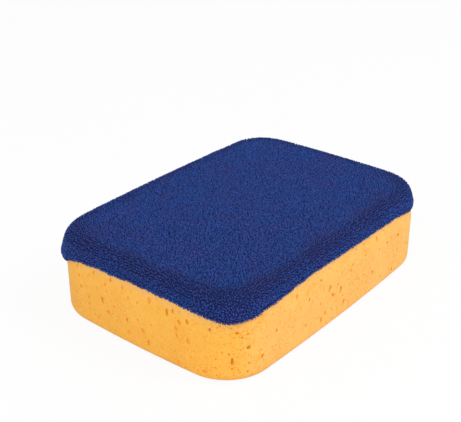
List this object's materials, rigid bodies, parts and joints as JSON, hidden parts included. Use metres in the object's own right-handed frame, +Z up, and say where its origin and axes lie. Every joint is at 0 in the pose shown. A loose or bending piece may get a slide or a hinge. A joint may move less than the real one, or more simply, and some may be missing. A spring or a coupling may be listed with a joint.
{
  "type": "polishing sponge",
  "caption": "Hand sponge for wiping and buffing: a thick rounded foam block with a short-pile cloth bonded over its top face and shoulders.",
  "frame": {"origin": "middle of the bottom face, which the sponge rests on", "axes": "+Z up towards the cloth-covered face, X along the block's length, Y across its width"},
  "size_m": [0.191, 0.1362, 0.051],
  "materials": {
    "foam": "matte",
    "pile_cloth": "matte"
  },
  "bodies": {
    "root": {"foam_block": "foam", "pile_cloth": "pile_cloth"}
  },
  "joints": []
}
